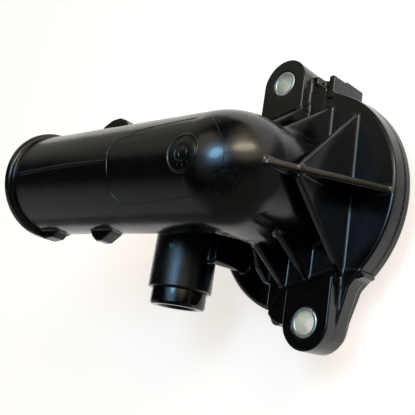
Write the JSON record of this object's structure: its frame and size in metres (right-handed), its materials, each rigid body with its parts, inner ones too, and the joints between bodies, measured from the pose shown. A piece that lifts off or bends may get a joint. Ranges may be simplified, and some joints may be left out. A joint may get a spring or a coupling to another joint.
{
  "type": "thermostat housing",
  "caption": "Black moulded engine thermostat housing with a round bolted flange, ribbed elbow, beaded hose spigot and a side branch.",
  "frame": {"origin": "centre of the round flange, on its mounting face", "axes": "+Z out of the flange along the leg, -X along the hose spigot, +Y towards the upper bolt boss, with the side branch running to -Y"},
  "size_m": [0.134, 0.1005, 0.0772],
  "materials": {
    "moulded_plastic": "satin black glass-filled nylon",
    "sleeve_steel": "bright zinc plate",
    "ring_plastic": "glossy black",
    "seal_rubber": "matte black"
  },
  "bodies": {
    "root": {"housing": "moulded_plastic", "upper_bolt_sleeve": "sleeve_steel", "lower_bolt_sleeve": "sleeve_steel", "branch_ring": "ring_plastic", "face_seal": "seal_rubber"}
  },
  "joints": []
}
